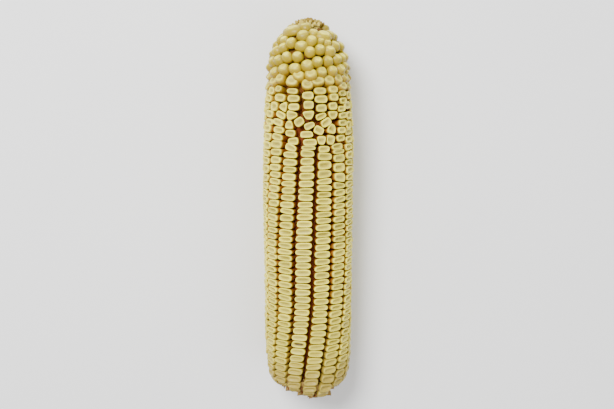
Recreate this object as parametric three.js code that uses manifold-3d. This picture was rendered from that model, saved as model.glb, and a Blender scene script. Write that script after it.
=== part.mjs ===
// A dried ear of white dent maize, lying on a table: the woody cob, its sixteen kernel rows and
// the withered florets at its tip.
// Units are millimetres. +Z is up, +Y runs along the ear from butt to tip, and the origin lies on
// the table under the middle of the ear.
import * as THREE from "three";
import { mergeVertices } from "three/addons/utils/BufferGeometryUtils.js";
import Module from "manifold-3d";

// ---- Driving dimensions ----

const ROW_COUNT = 16;
const SEED = 20;

// The ear's outline over the kernel crowns, as (distance from the butt, radius).
const CROWN_OUTLINE = [
  [1.2, 12.5], [0.2, 17.2], [3.2, 20.9], [12, 22.9], [30, 23.6], [75, 23.9], [119, 24.3],
  [145, 23.7], [164, 22.2], [177, 20.4], [185, 17.9], [191, 14.0], [195.5, 8.8], [197, 5.6],
];

// How far the rows have turned round the cob, and how far they crowd towards its underside (+)
// or its top (-), at some distances from the butt.
const ROW_STATIONS = [0, 13, 45, 77, 129, 158, 177, 200];
const ROW_TURN_DEG = [-12, -5.6, 3.8, 6.3, 10.1, 11.4, 13.3, 14];
const ROW_CROWDING = [0.09, 0.09, 0.09, 0.13, -0.02, -0.09, -0.18, -0.18];

// One kernel's thickness along the row, at some distances from the butt.
const PITCH_STATIONS = [0, 30, 105, 128, 145, 162, 174, 186, 200];
const PITCH = [4.1, 3.68, 3.68, 4.05, 4.6, 4.9, 6.0, 6.5, 7.0];
const PITCH_SCATTER = 0.13;

const CROWN_SHARE = 0.87; // of the space between two rows, taken up by the crowns
const CROWN_SHARE_SCATTER = 0.03;
const CREASE_DEPTH = 1.1; // of the crease between two kernels of a row
const CREASE_WIDTH = 0.5;

// Kernels stand this deep at the butt, along most of the ear and at the tip.
const DEPTH_BUTT = 5.4;
const DEPTH = 10;
const DEPTH_TIP = 5.2;
const DEPTH_RAMP = 32;
const COB_CLEARANCE = 1.1;
const COB_RADIUS = 13.2; // at most

// The kernels' ends of a row are rarely square: this is how far a crease leans over half a row,
// on most of the ear and in the places where growth was disturbed.
const CREASE_LEAN = 0.22;
const DISTURBED_LEAN = 1.4;
const DISTURBED_SPREAD = 0.3;
const DISTURBED = [
  { along: 139, deg: 5, length: 9, spanDeg: 38 },
  { along: 119, deg: 43, length: 6, spanDeg: 26 },
  { along: 118, deg: -82, length: 6, spanDeg: 20 },
  { along: 70, deg: -150, length: 9, spanDeg: 25 },
  { along: 142, deg: 165, length: 8, spanDeg: 35 },
];

// The rows crowd out towards the tip: every second one stops first, then every second one of the
// rest, and each time the others spread into the room. Rows take these ranks in turn.
const TRIM = [0.6, 14, 7, 14];
const SPREAD = 0.88;
const SPREAD_START = 1.5;
const SPREAD_END = 5.5;

// Some rows hang lower than the others at the butt.
const OVERHANG = 1.4;
const LONG_OVERHANGS = new Map([[9, 5.2], [8, 3.4], [7, 1.8]]);
const OVERHANG_FADE = 22;

const BUTT_FACE = 3.2; // distance from the ear's end to the cob's broken face
const SHANK_RADIUS = 6.5;
const SHANK_STUB = 1.6;
const TIP_END = 198.4;
const TIP_BASE_RADIUS = 4.6;
const COB_SIDES = 24;
const COB_RINGS = 12;
const FOOT_EVERY = 2; // kernels to one corner of a row's straighter inner side

const RESTING_FLAT = 0.25; // depth of the crowns' flats where the ear rests

// ---- Helpers ----

const wasm = await Module();
wasm.setup();

const smoothstep = THREE.MathUtils.smoothstep;
const degToRad = THREE.MathUtils.degToRad;

// A repeatable source of numbers from -1 to 1.
function scatterSource(seed) {
  let state = seed;
  return () => {
    state = (Math.imul(state, 1664525) + 1013904223) >>> 0;
    return state / 2147483648 - 1;
  };
}

function keyed(stations, values) {
  const track = new THREE.CubicInterpolant(stations, values, 1);
  const last = stations[stations.length - 1];
  return (along) => track.evaluate(THREE.MathUtils.clamp(along, stations[0], last))[0];
}

const rowTurn = keyed(ROW_STATIONS, ROW_TURN_DEG);
const rowCrowding = keyed(ROW_STATIONS, ROW_CROWDING);
const pitchAt = keyed(PITCH_STATIONS, PITCH);

const outline = new THREE.SplineCurve(CROWN_OUTLINE.map(([along, radius]) => new THREE.Vector2(along, radius)));
outline.arcLengthDivisions = 1200;
const OUTLINE_LENGTH = outline.getLength();

// The point that lies deep millimetres under the crowns, arc millimetres along the outline, as
// (distance from the butt, radius).
function underCrowns(arc, deep) {
  const share = THREE.MathUtils.clamp(arc / OUTLINE_LENGTH, 0, 1);
  const tangent = outline.getTangentAt(share);
  const inward = new THREE.Vector2(tangent.y, -tangent.x);
  return outline.getPointAt(share).addScaledVector(inward, deep);
}

function kernelDepth(arc) {
  const butt = (DEPTH - DEPTH_BUTT) * (1 - smoothstep(arc, 0, DEPTH_RAMP));
  const tip = (DEPTH - DEPTH_TIP) * smoothstep(arc, OUTLINE_LENGTH - DEPTH_RAMP, OUTLINE_LENGTH);
  return DEPTH - butt - tip;
}

// A row's angle from the ear's top, and the space it has, both in radians.
function rowPlace(row, along) {
  const even = ((row + 0.5) / ROW_COUNT) * 2 * Math.PI - Math.PI;
  const crowding = rowCrowding(along);
  return {
    angle: even + crowding * Math.sin(even) + degToRad(rowTurn(along)),
    space: ((2 * Math.PI) / ROW_COUNT) * (1 + crowding * Math.cos(even)),
  };
}

function disturbance(along, angle) {
  let most = 0;
  for (const spot of DISTURBED) {
    const far = (along - spot.along) / spot.length;
    const turn = THREE.MathUtils.euclideanModulo(angle - degToRad(spot.deg) + Math.PI, 2 * Math.PI) - Math.PI;
    const round = turn / degToRad(spot.spanDeg);
    most = Math.max(most, 1 - smoothstep(Math.hypot(far, round), 0.6, 1.2));
  }
  return most;
}

function toSolid(geometry) {
  const bare = geometry.clone();
  for (const name of Object.keys(bare.attributes)) {
    if (name !== "position") bare.deleteAttribute(name);
  }
  const merged = mergeVertices(bare, 1e-4);
  const vertProperties = new Float32Array(merged.attributes.position.array);
  const triVerts = new Uint32Array(merged.index.array);
  return new wasm.Manifold(new wasm.Mesh({ numProp: 3, vertProperties, triVerts }));
}

function toGeometry(solid) {
  const { vertProperties, triVerts } = solid.getMesh();
  const geometry = new THREE.BufferGeometry();
  geometry.setAttribute("position", new THREE.BufferAttribute(vertProperties, 3));
  geometry.setIndex(new THREE.BufferAttribute(triVerts, 1));
  geometry.computeVertexNormals();
  return geometry;
}

function material(color, roughness) {
  return new THREE.MeshStandardMaterial({ color, roughness, metalness: 0, flatShading: true });
}

// ---- Kernel rows ----

// The creases across a row, from butt to tip: where each one is and how far it leans.
function rowCreases(row, scatter) {
  const end = OUTLINE_LENGTH - TRIM[row % TRIM.length];
  const creases = [];
  let arc = (scatter() + 1) * 0.9;
  while (arc < end) {
    const along = underCrowns(arc, 0).x;
    const disturbed = disturbance(along, rowPlace(row, along).angle);
    const lean = scatter() * THREE.MathUtils.lerp(CREASE_LEAN, DISTURBED_LEAN, disturbed);
    creases.push({ arc, lean });
    arc += pitchAt(along) * (1 + scatter() * PITCH_SCATTER) * (1 + DISTURBED_SPREAD * disturbed);
  }
  return creases;
}

// A row's cross-sections, three to a kernel: its crease, then the two edges of its crown. Each one
// has its place along the crowns and the place of its foot on the row's straighter inner side.
function rowSections(creases) {
  const last = creases.length - 1;
  const half = CREASE_WIDTH / 2;
  const footAt = (crease) => creases[Math.min(last, Math.round(crease / FOOT_EVERY) * FOOT_EVERY)].arc;
  const sections = [];
  for (let i = 0; i < last; i += 1) {
    const next = creases[i + 1];
    sections.push({ ...creases[i], deep: CREASE_DEPTH, foot: footAt(i) });
    sections.push({ arc: creases[i].arc + half, lean: creases[i].lean, deep: 0, foot: footAt(i) });
    sections.push({ arc: next.arc - half, lean: next.lean, deep: 0, foot: footAt(i + 1) });
  }
  sections.push({ ...creases[last], deep: CREASE_DEPTH, foot: footAt(last) });
  return sections;
}

// How many times its own share of the circle a row fills, where the rows beside it have stopped.
function rowSpread(row, arc) {
  const own = TRIM[row % TRIM.length];
  let spread = 1;
  for (const trim of new Set(TRIM)) {
    const past = arc - (OUTLINE_LENGTH - trim);
    if (trim > own) spread *= 1 + SPREAD * smoothstep(past, SPREAD_START, SPREAD_END);
  }
  return spread;
}

// A row is a box wrapped round the ear: x counts its sections, y is its crown (1) or foot (0), and
// z is its left (-1) or right (1) side.
function kernelRow(row, scatter) {
  const sections = rowSections(rowCreases(row, scatter));
  const share = CROWN_SHARE + CROWN_SHARE_SCATTER * scatter();
  const overhang = LONG_OVERHANGS.get(row) ?? OVERHANG * (scatter() + 1) * 0.5;
  const steps = sections.length - 1;
  const geometry = new THREE.BoxGeometry(steps, 1, 2, steps, 1, 1);
  geometry.translate(steps / 2, 0.5, 0);
  const at = geometry.attributes.position;
  for (let i = 0; i < at.count; i += 1) {
    const section = sections[Math.round(at.getX(i))];
    const side = at.getZ(i);
    const isCrown = at.getY(i) > 0.5;
    const arc = isCrown ? section.arc + side * section.lean : section.foot;
    const point = underCrowns(arc, isCrown ? section.deep : kernelDepth(arc));
    const { angle, space } = rowPlace(row, point.x);
    const turned = angle + (side * share * space * rowSpread(row, arc)) / 2;
    const along = point.x - overhang * (1 - smoothstep(arc, 0, OVERHANG_FADE));
    at.setXYZ(i, point.y * Math.sin(turned), along, point.y * Math.cos(turned));
  }
  return geometry;
}

// ---- Cob and tip ----

// A turned solid along the ear, from a profile of (distance from the butt, radius).
function turned(profile, sides) {
  const points = profile.map(([along, radius]) => new THREE.Vector2(radius, along));
  return new THREE.LatheGeometry(points, sides);
}

function cob() {
  const profile = [[BUTT_FACE - SHANK_STUB, 0], [BUTT_FACE - SHANK_STUB, SHANK_RADIUS]];
  profile.push([BUTT_FACE, SHANK_RADIUS + 0.8]);
  for (let i = 0; i <= COB_RINGS; i += 1) {
    const arc = (OUTLINE_LENGTH * i) / COB_RINGS;
    const seat = underCrowns(arc, kernelDepth(arc) + COB_CLEARANCE);
    const radius = Math.min(seat.y, COB_RADIUS);
    if (i === 0) profile.push([BUTT_FACE, radius - 0.6]);
    profile.push([seat.x, radius]);
  }
  const [endAlong] = profile[profile.length - 1];
  profile.push([endAlong, 0]);
  return turned(profile, COB_SIDES);
}

function witheredTip() {
  const seat = underCrowns(OUTLINE_LENGTH, kernelDepth(OUTLINE_LENGTH) + COB_CLEARANCE).x + 0.4;
  const waist = TIP_BASE_RADIUS * 0.42;
  return turned(
    [[seat, 0], [seat, waist], [TIP_END - 4.5, waist], [TIP_END - 2.6, TIP_BASE_RADIUS * 0.8],
      [TIP_END - 0.8, TIP_BASE_RADIUS * 0.55], [TIP_END, 1.2], [TIP_END, 0]],
    12,
  );
}

// ---- Laying the ear down ----

// The slope of the line that the ear's underside rests on: the edge of its lower outline that
// lies under its middle.
function restingSlope(points, middle) {
  let slope = 0;
  let lowest = Infinity;
  for (const a of points) {
    if (a.along > middle) continue;
    for (const b of points) {
      if (b.along <= middle) continue;
      const rise = (b.height - a.height) / (b.along - a.along);
      const under = a.height + rise * (middle - a.along);
      if (under < lowest) {
        lowest = under;
        slope = rise;
      }
    }
  }
  return slope;
}

// The lowest corner in each five millimetres of the ear's length.
function underside(ear) {
  const lowest = new Map();
  for (const mesh of ear.children) {
    const at = mesh.geometry.attributes.position;
    for (let i = 0; i < at.count; i += 1) {
      const key = Math.round(at.getY(i) / 5);
      const known = lowest.get(key);
      if (!known || at.getZ(i) < known.height) lowest.set(key, { along: at.getY(i), height: at.getZ(i) });
    }
  }
  return [...lowest.values()];
}

function layDown(ear) {
  ear.rotation.x = -Math.atan(restingSlope(underside(ear), OUTLINE_LENGTH * 0.45));
  ear.updateMatrixWorld(true);
  const box = new THREE.Box3().setFromObject(ear, true);
  const middle = box.getCenter(new THREE.Vector3());
  ear.position.set(-middle.x, -middle.y, -box.min.z - RESTING_FLAT);
  ear.updateMatrixWorld(true);
}

// Takes off whatever reaches below the table, which leaves small flats on the lowest crowns.
function flattenUnderside(ear) {
  const below = new THREE.BoxGeometry(400, 400, 40);
  below.translate(0, 0, -20);
  below.applyMatrix4(ear.matrixWorld.clone().invert());
  const table = toSolid(below);
  for (const mesh of ear.children) {
    const solid = toSolid(mesh.geometry);
    if (solid.intersect(table).volume() > 0) mesh.geometry = toGeometry(solid.subtract(table));
  }
}

// ---- Assembly ----

function buildEar() {
  const ear = new THREE.Group();
  const scatter = scatterSource(SEED);
  const add = (name, geometry, look) => {
    const mesh = new THREE.Mesh(geometry, look);
    mesh.name = name;
    ear.add(mesh);
  };
  const grain = material(0xcdc18a, 0.45);
  add("cob", cob(), material(0x6e2a12, 0.9));
  for (let row = 0; row < ROW_COUNT; row += 1) {
    add(`kernel_row_${String(row + 1).padStart(2, "0")}`, kernelRow(row, scatter), grain);
  }
  add("withered_tip", witheredTip(), material(0xb09654, 0.85));
  layDown(ear);
  flattenUnderside(ear);
  return ear;
}

const part = new THREE.Group();
part.add(buildEar());

export default part;
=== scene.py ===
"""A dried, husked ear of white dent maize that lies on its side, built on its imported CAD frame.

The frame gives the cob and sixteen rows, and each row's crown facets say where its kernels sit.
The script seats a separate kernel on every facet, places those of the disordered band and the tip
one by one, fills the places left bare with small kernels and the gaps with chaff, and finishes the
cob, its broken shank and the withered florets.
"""

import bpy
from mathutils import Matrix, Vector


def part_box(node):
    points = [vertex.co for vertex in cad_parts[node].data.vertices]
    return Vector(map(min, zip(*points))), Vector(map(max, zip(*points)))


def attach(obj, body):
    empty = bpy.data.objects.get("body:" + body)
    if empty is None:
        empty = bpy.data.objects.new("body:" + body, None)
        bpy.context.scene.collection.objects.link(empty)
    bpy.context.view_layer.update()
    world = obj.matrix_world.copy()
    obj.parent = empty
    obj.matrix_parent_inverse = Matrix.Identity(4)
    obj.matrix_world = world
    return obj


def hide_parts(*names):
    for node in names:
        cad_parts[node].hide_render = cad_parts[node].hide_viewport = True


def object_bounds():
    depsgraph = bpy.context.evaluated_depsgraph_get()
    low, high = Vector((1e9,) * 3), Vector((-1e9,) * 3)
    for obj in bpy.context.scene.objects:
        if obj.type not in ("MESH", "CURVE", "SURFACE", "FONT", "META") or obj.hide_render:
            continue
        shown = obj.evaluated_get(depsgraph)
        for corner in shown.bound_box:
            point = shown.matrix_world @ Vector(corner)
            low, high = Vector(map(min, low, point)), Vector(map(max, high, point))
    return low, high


bl_info = {
    "name": "Maize Ear",
    "version": (1, 0, 0),
    "blender": (4, 5, 0),
    "location": "3D Viewport > Sidebar > Maize Ear",
    "description": "Builds a dried ear of white dent maize, kernel by kernel",
    "category": "Object",
}

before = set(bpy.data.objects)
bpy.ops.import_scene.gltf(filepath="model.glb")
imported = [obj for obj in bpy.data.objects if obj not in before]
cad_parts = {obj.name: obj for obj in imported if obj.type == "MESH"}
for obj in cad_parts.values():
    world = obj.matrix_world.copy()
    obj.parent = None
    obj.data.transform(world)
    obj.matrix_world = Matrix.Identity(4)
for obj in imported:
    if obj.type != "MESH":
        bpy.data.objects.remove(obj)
CAD_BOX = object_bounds()

import math
import random
from dataclasses import dataclass

import bmesh
import bpy
from bpy.props import FloatProperty, FloatVectorProperty, IntProperty, PointerProperty
from mathutils import Euler, Matrix, Quaternion, Vector

MM = 0.001
ROW_NAMES = sorted(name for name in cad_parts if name.startswith("kernel_row_"))

# Every chance in the shapes comes from this seed
SEED = 7

# Reading the frame
WELD = 1e-3 * MM
END_SLICE = 1.0 * MM
FACET_BEND = math.radians(30)
LEAST_CROWN_AREA = 11.5 * MM * MM
LEAST_OUTWARD = 0.3
SPINE_INSET = 16 * MM

# The kernel cage: a ring of corners, whose outline goes from a blocky one to a round one between
# two distances from the butt
RING_CORNERS = 10
MIDDLE_CORNER_X = 0.1
SIDE_CORNER_X = 0.80
END_CORNER_Y = 0.46
ROUND_FROM = 150 * MM
ROUND_TO = 178 * MM
DIMPLE_FADE_FROM = 165 * MM
DIMPLE_FADE_TO = 176 * MM
# How large the kernels of the band and of the tip are beside their listed sizes
ODD_SHARE = 0.92
TIP_SHARE = 1.05

# Kernels lean towards the tip, most of all where the ear starts to narrow
LEAN = math.radians(5)
TAPER_LEAN = math.radians(30)
LEAN_FROM = 156 * MM
LEAN_TO = 172 * MM
LEAN_FADE_FROM = 180 * MM
LEAN_FADE_TO = 192 * MM
LEAN_FADE = 0.6

# What a kernel's own chances change
OUTLINE_SCATTER = 0.045
WIDTH_SCATTER = 0.04
TURN_SCATTER = 0.05
TAPER_SCATTER = 0.10
DENT_SHIFT = 0.12
DENT_SHARES = (0.5, 1.2)

# A kernel whose seat is skewed more than this stands squarely, turned, narrower and longer
SKEWED = 0.32
SKEWED_TURN = 0.3
SKEWED_WIDTH = 0.88
SKEWED_LENGTH = 1.04


@dataclass
class Level:
    """One ring of the kernel cage. Depth is under the crown, in metres, and spreads are shares of
    the kernel's half width and half thickness. Rise runs from 0 at the foot to 1 at the crown."""

    depth: float
    across: float
    lengthwise: float
    rise: float
    dent: float


# A dented kernel from the foot up, whose foot is as deep as the cob lies
DENTED = (
    Level(0.0, 0.56, 0.66, 0.0, 0.0),
    Level(3.4 * MM, 0.90, 0.96, 0.62, 0.0),
    Level(0.50 * MM, 1.02, 1.04, 0.93, 0.0),
    Level(-0.12 * MM, 0.94, 0.82, 1.0, 0.0),
    Level(0.30 * MM, 0.76, 0.46, 1.0, 0.4),
    Level(1.30 * MM, 0.52, 0.08, 0.97, 1.0),
)
# A round kernel, as near the tip
PEARLY = (
    Level(0.0, 0.62, 0.66, 0.0, 0.0),
    Level(4.6 * MM, 1.26, 1.20, 0.40, 0.0),
    Level(2.4 * MM, 1.38, 1.32, 0.68, 0.0),
    Level(0.75 * MM, 1.12, 1.08, 0.88, 0.0),
    Level(0.06 * MM, 0.70, 0.66, 0.985, 0.0),
    Level(0.0, 0.28, 0.26, 1.0, 0.15),
)


@dataclass
class OddKernel:
    """A kernel that stands out of line: where the middle of its crown is, as an angle from the
    ear's top and a distance along the ear, its width and length, its turn, and how much it
    narrows towards the tip and towards the right. Lengths are in millimetres, angles in degrees."""

    angle: float
    along: float
    width: float
    length: float
    turn: float = 0.0
    narrow_tip: float = 0.0
    narrow_right: float = 0.0


# The band where rows were lost in growth
ODD_KERNELS = [OddKernel(*values) for values in (
    (42, 128.9, 8.2, 2.5), (0.3, 131.6, 8.6, 2.4), (63.6, 142.1, 5.8, 4.5),
    (-42.5, 136.5, 7.8, 3.7, -5), (-22, 131.5, 7.0, 3.8, -18, 0.0, 0.25), (20, 130.8, 6.6, 3.5),
    (39, 131.6, 7.2, 3.5, 0, 0.0, -0.2), (-19, 134.9, 6.3, 4.0, 5, 0.0, -0.3), (2, 134.4, 7.8, 3.8),
    (16.5, 135.4, 4.6, 4.9, 0, -0.25, 0.0), (29, 135.3, 5.0, 5.4, -10, -0.2, 0.0),
    (46, 135.8, 6.4, 3.6), (-23, 138.9, 6.1, 3.7), (-2, 138.6, 7.2, 3.7, 0, 0.1, 0.1),
    (13.5, 140.6, 5.8, 4.5, -24, 0.0, 0.1), (31, 141.1, 5.0, 5.6, -22, 0.35, 0.0),
    (48, 139.9, 6.2, 3.5), (-25, 143.3, 4.3, 4.5, 0, 0.4, 0.1),
    (1.5, 143.0, 6.0, 3.6, 27, 0.0, 0.25), (-11.5, 144.9, 5.8, 4.9, 38),
    (23.5, 144.4, 6.2, 4.6, 28), (-41.5, 144.2, 7.2, 3.7, -14), (-40.5, 140.2, 7.0, 3.7, -4),
    (50, 143.6, 6.6, 3.5), (-60, 143.8, 7.0, 3.5), (-38, 148.0, 6.4, 3.6, -20),
    (-21, 148.3, 6.2, 4.2, 3, 0.0, 0.5), (0.5, 148.3, 5.7, 4.8, 0, -0.4, 0.0),
    (16.5, 147.7, 6.2, 3.3, 18, 0.0, 0.1), (33.5, 148.1, 5.1, 4.5, 0, -0.4, 0.0),
    (52, 147.4, 7.2, 3.3), (-60, 148.0, 6.8, 3.9), (-34.5, 152.3, 4.9, 4.6, 0, 0.0, -0.45),
    (-19, 152.4, 6.6, 3.8), (0.5, 153.6, 6.0, 4.6), (17, 151.9, 6.1, 4.1, 3, 0.0, -0.1),
    (33.5, 152.7, 5.7, 4.1), (49.5, 150.9, 6.2, 3.2), (-51, 152.1, 5.3, 5.2),
    (-68, 151.9, 6.4, 3.8), (-65, 156.0, 7.2, 3.9), (-41, 156.9, 7.4, 4.4), (-20, 156.8, 6.9, 3.9),
    (-0.5, 158.4, 6.7, 4.3), (17, 156.4, 6.9, 4.1), (36, 157.2, 5.6, 4.0), (53.5, 155.0, 6.0, 3.6),
    (53, 158.9, 6.5, 3.3), (-61, 160.0, 6.0, 4.4), (-45, 161.5, 4.6, 3.5), (-22, 160.6, 6.5, 3.1),
    (16, 160.8, 7.0, 3.9), (36.5, 161.4, 6.0, 4.2), (56, 163.0, 6.2, 4.5),
)]
# The topmost kernels near the tip, where the rows have broken up
TIP_KERNELS = [OddKernel(*values) for values in (
    (-59, 165.7, 5.4, 5.0), (-43.5, 167.6, 5.0, 4.8), (-23, 166.1, 5.6, 5.0, -20, 0.0, 0.2),
    (-1, 164.6, 5.6, 5.0), (13.5, 166.3, 6.0, 4.2, 8), (31, 166.6, 5.2, 5.0), (48, 167.4, 4.8, 5.6),
    (66, 168.1, 5.4, 5.0), (-58.5, 171.1, 5.2, 5.0), (-14, 169.5, 5.4, 4.6, -8),
    (4, 170.2, 5.5, 5.2), (20, 171.5, 4.9, 5.0), (38.5, 172.1, 4.9, 4.9), (57, 172.6, 5.0, 5.0),
    (-39.5, 172.9, 5.2, 5.0), (-20.5, 173.5, 5.4, 4.8), (-1.5, 175.1, 5.3, 5.3),
    (14, 176.8, 4.9, 4.5), (33, 177.3, 5.3, 4.3, -20), (51, 178.1, 5.0, 4.6),
    (-54, 177.5, 5.2, 4.8), (-71, 176.6, 5.8, 4.6), (-35.5, 179.4, 4.8, 4.3),
    (-17.5, 179.5, 4.8, 4.3), (3, 182.2, 4.7, 5.0), (20, 183.0, 4.6, 4.7), (38, 182.3, 5.6, 5.0),
    (-70, 182.3, 5.2, 4.6), (-50, 183.9, 4.6, 4.5), (57, 184.8, 5.2, 5.2), (-12.5, 184.9, 5.8, 4.7),
    (-34, 186.3, 5.0, 5.0), (7, 187.4, 5.0, 5.2), (25, 186.8, 3.4, 3.0), (-78, 187.9, 5.4, 5.0),
    (37, 189.6, 7.2, 6.2), (66, 190.1, 5.4, 5.0), (-12, 189.9, 5.8, 5.6), (14, 191.1, 4.7, 4.8),
    (-55, 192.6, 9.8, 8.4), (-13, 194.1, 6.0, 5.4),
)]
# A seated kernel gives way to an odd one that is nearer than this share of their half sizes
GIVE_WAY = 0.88
# Two kernels further apart than this never touch
GIVE_WAY_REACH = 12 * MM
# Small kernels that fill what the others leave bare, as width and length
FILLER_SIZES = ((5.4 * MM, 4.2 * MM), (4.2 * MM, 3.8 * MM))
FILLERS_FROM = 147 * MM
FILLERS_TO = 190 * MM
FILLER_STEP = 1.5 * MM
FILLER_SPOTS = 60
# Up to here every kernel beyond the rows is listed, this far to either side of the top
HAND_PLACED_TO = 165 * MM
HAND_PLACED_REACH = math.radians(61)

# Round the rest of the tip, staggered rings take over from the rows
RINGS_FROM = 162.5 * MM
RINGS_LEAST_RADIUS = 8.5 * MM
RING_SPACING = 6.1 * MM
RING_PITCH = 5.5 * MM
RING_KERNEL = (5.0 * MM, 4.8 * MM)
RING_SCATTER = 0.5 * MM
RING_ANGLE_SCATTER = 0.12

# The outline over the crowns is read in slices of this length, and its slope over this span
OUTLINE_SLICE = 4 * MM
SLOPE_SPAN = 3 * MM

# The kernel with a brown streak in its dent
BLEMISH_SIDE = -5.4 * MM
BLEMISH_ALONG = 26.5 * MM

# Where the colours change, measured back from the cob's tip or up from its butt
PEARLY_FROM = 44 * MM
PEARLY_TO = 16 * MM
BROWN_FROM = 50 * MM
BROWN_TO = 25 * MM
AGED_TO = 60 * MM
WORN_FROM = 5 * MM
WORN_TO = 20 * MM

# The shape of every chaff scale: how it narrows and bends back as it rises, curls round its kernel
# and rounds off at its top, and how uneven its edge is
SCALE_ROWS = 2
SCALE_NARROWING = 0.35
SCALE_BEND = 0.16
SCALE_CURL = 1.1
SCALE_ROUNDING = 0.7
SCALE_RUFFLE = 0.12


@dataclass
class ScaleKind:
    """A kind of chaff scale: its width and height, the shares of them that it varies between, and
    how torn its edge is beyond a plain scale's."""

    width: float
    height: float
    widths: tuple
    heights: tuple
    torn: float = 0.0


# Scales at both sides of each kernel's foot, as far as this along the ear
CHAFF_END = 172 * MM
FOOT_SCALE_SPLAY = 0.10
FOOT_SCALE_SINK = 0.8 * MM
FOOT_SCALE_REACH = 1.7
FOOT_SCALE_ASIDE = 0.80
FOOT_SCALE_WIDTHS = (0.85, 1.15)
FOOT_SCALE_HEIGHTS = (0.75, 1.2)

# Torn scales in two rings round the cob's broken face, an outer and an inner one
BUTT_SCALES = 46
BUTT_SCALE_ALONG = 2.4 * MM
BUTT_ANGLE_SCATTER = 0.06
BUTT_FOLD_SCATTER = 0.2
BUTT_RING_RADII = (11.6 * MM, 9.0 * MM)
BUTT_RING_FOLDS = (math.radians(150), math.radians(118))
BUTT_SCALE = ScaleKind(2.6 * MM, 2.6 * MM, (0.7, 1.2), (0.6, 1.3), 0.25)

# Torn scales under the lowest kernel of a row
ROW_END_SCALES = 5
ROW_END_SCATTER = 0.3
ROW_END_REACH = 1.15
ROW_END_DROP = 1.1
ROW_END_DEPTH = 5.4 * MM
ROW_END_LEAN = 0.12
ROW_END_SCALE = ScaleKind(3.1 * MM, 5.0 * MM, (0.8, 1.2), (0.75, 1.1), 0.2)

# Torn scales beside the lowest kernels of a row, at two depths under their crowns
GAP_SCALE_SEATS = 3
GAP_SCALE_DEPTHS = (3.2 * MM, 5.4 * MM)
GAP_SCALE_ASIDE = 1.18
GAP_SCALE_FORWARD = 2.0 * MM
GAP_SCALE = ScaleKind(4.2 * MM, 4.6 * MM, (0.85, 1.15), (0.8, 1.1), 0.2)

# The shank's broken face, as millimetres along the ear and of radius, from its middle outwards
SHANK_PROFILE = (
    (1.9, 0.0), (-0.35, 0.0), (-0.4, 1.3), (-0.5, 2.6), (-0.9, 3.3), (-1.3, 4.1), (-1.15, 5.0),
    (-1.35, 5.8), (-1.0, 6.6), (-0.3, 7.0), (0.7, 7.7), (1.5, 8.2),
)
SHANK_SPOKES = 44
# Radii between which its pith ends, and its torn ring begins and ends
PITH_EDGE = (2.4 * MM, 3.6 * MM)
TORN_INNER_EDGE = (3.0 * MM, 4.5 * MM)
TORN_OUTER_EDGE = (7.2 * MM, 8.0 * MM)
SMOOTH_BUMPS = 0.1 * MM
TORN_BUMPS = 0.45 * MM

# The chaffy bed that the kernels stand in, this deep under the crowns
BED_FROM = 3 * MM
BED_TO = 193 * MM
BED_DEPTH = 6.0 * MM
BED_DEPTH_TIP = 4.6 * MM
BED_RINGS = 90
BED_SPOKES = 72
BED_BUMPS = 0.4 * MM
# Its radius at its butt end, as a share of the cob's
BED_BUTT_SHARE = 0.8

# The withered florets, which crowd over this radius and drop this far to its edge
FLORET_COUNT = 44
FLORET_REACH = 7.4 * MM
FLORET_DROP = 3.0 * MM
# The end of the cob under them, as shares of the drop and of the reach
FLORET_DOME = ((1.0, 0.95), (0.35, 0.5), (0.0, 0.0))
FLORET_SPOKES = 20
FLORET_SIZES = (0.7, 1.2)
FLORET_GIRTHS = (0.75, 1.1)
FLORET_FLATNESS = 0.75
FLORET_PINCH = 0.45
FLORET_FOOT = 0.35
FLORET_CRUMPLE = 0.10
FLORET_TILT_SCATTER = 0.5
GOLDEN_ANGLE = math.pi * (3 - math.sqrt(5))

# The stage: width over height of the view, and each light's place and size
VIEW_SHAPE = 614 / 409
KEY_LIGHT = ((-0.30, 0.50, 0.85), 0.45)
FILL_LIGHT = ((0.55, -0.30, 0.80), 0.9)
FLOOR_COLOR = (0.96, 0.96, 0.96)
FLOOR_CLOUD = (0.94, 0.94, 0.94)
CAMERA_CLIP = 0.01


# ---- The ear, as the frame gives it ----

def mean(points):
    points = list(points)
    return sum(points, Vector()) / len(points)


def lerp(a, b, share):
    return a + (b - a) * share


def ramp(value, start, end):
    """0 before start and 1 past end, turning smoothly between them."""
    share = min(1.0, max(0.0, (value - start) / (end - start)))
    return share * share * (3 - 2 * share)


class EarAxis:
    """The line through the middle of the cob, from its butt to its tip."""

    def __init__(self, cob):
        points = [vertex.co for vertex in cob.data.vertices]
        low = min(point.y for point in points)
        high = max(point.y for point in points)
        self.butt = mean(point for point in points if point.y < low + END_SLICE)
        self.tip = mean(point for point in points if point.y > high - END_SLICE)
        self.direction = (self.tip - self.butt).normalized()
        self.length = (self.tip - self.butt).length
        self.cob_radius = max((point - self.beside(point)).length for point in points)

    def along(self, point):
        return (point - self.butt).dot(self.direction)

    def beside(self, point):
        """The axis point beside a point."""
        return self.butt + self.direction * self.along(point)

    def radius(self, point):
        return (point - self.beside(point)).length

    def outward(self, point):
        """The way out of the ear at a point: straight out, and rounding over at both ends."""
        place = min(max(self.along(point), SPINE_INSET), self.length - SPINE_INSET)
        return (point - self.butt - self.direction * place).normalized()

    def sideways(self, point):
        return self.direction.cross(point - self.beside(point)).normalized()

    def point(self, along, radius, angle):
        """The point at a distance along the ear, at a radius and an angle from its top."""
        level = Vector((1, 0, 0))
        up = level.cross(self.direction)
        spoke = level * math.sin(angle) + up * math.cos(angle)
        return self.butt + self.direction * along + spoke * radius

    def frame_at(self, along, radius, angle):
        """A matrix at a point on the ear, with X sideways, Y along it and Z straight out."""
        place = self.point(along, radius, angle)
        out = (place - self.beside(place)).normalized()
        right = self.direction.cross(out)
        return Matrix.Translation(place) @ Matrix((right, self.direction, out)).transposed().to_4x4()


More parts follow.
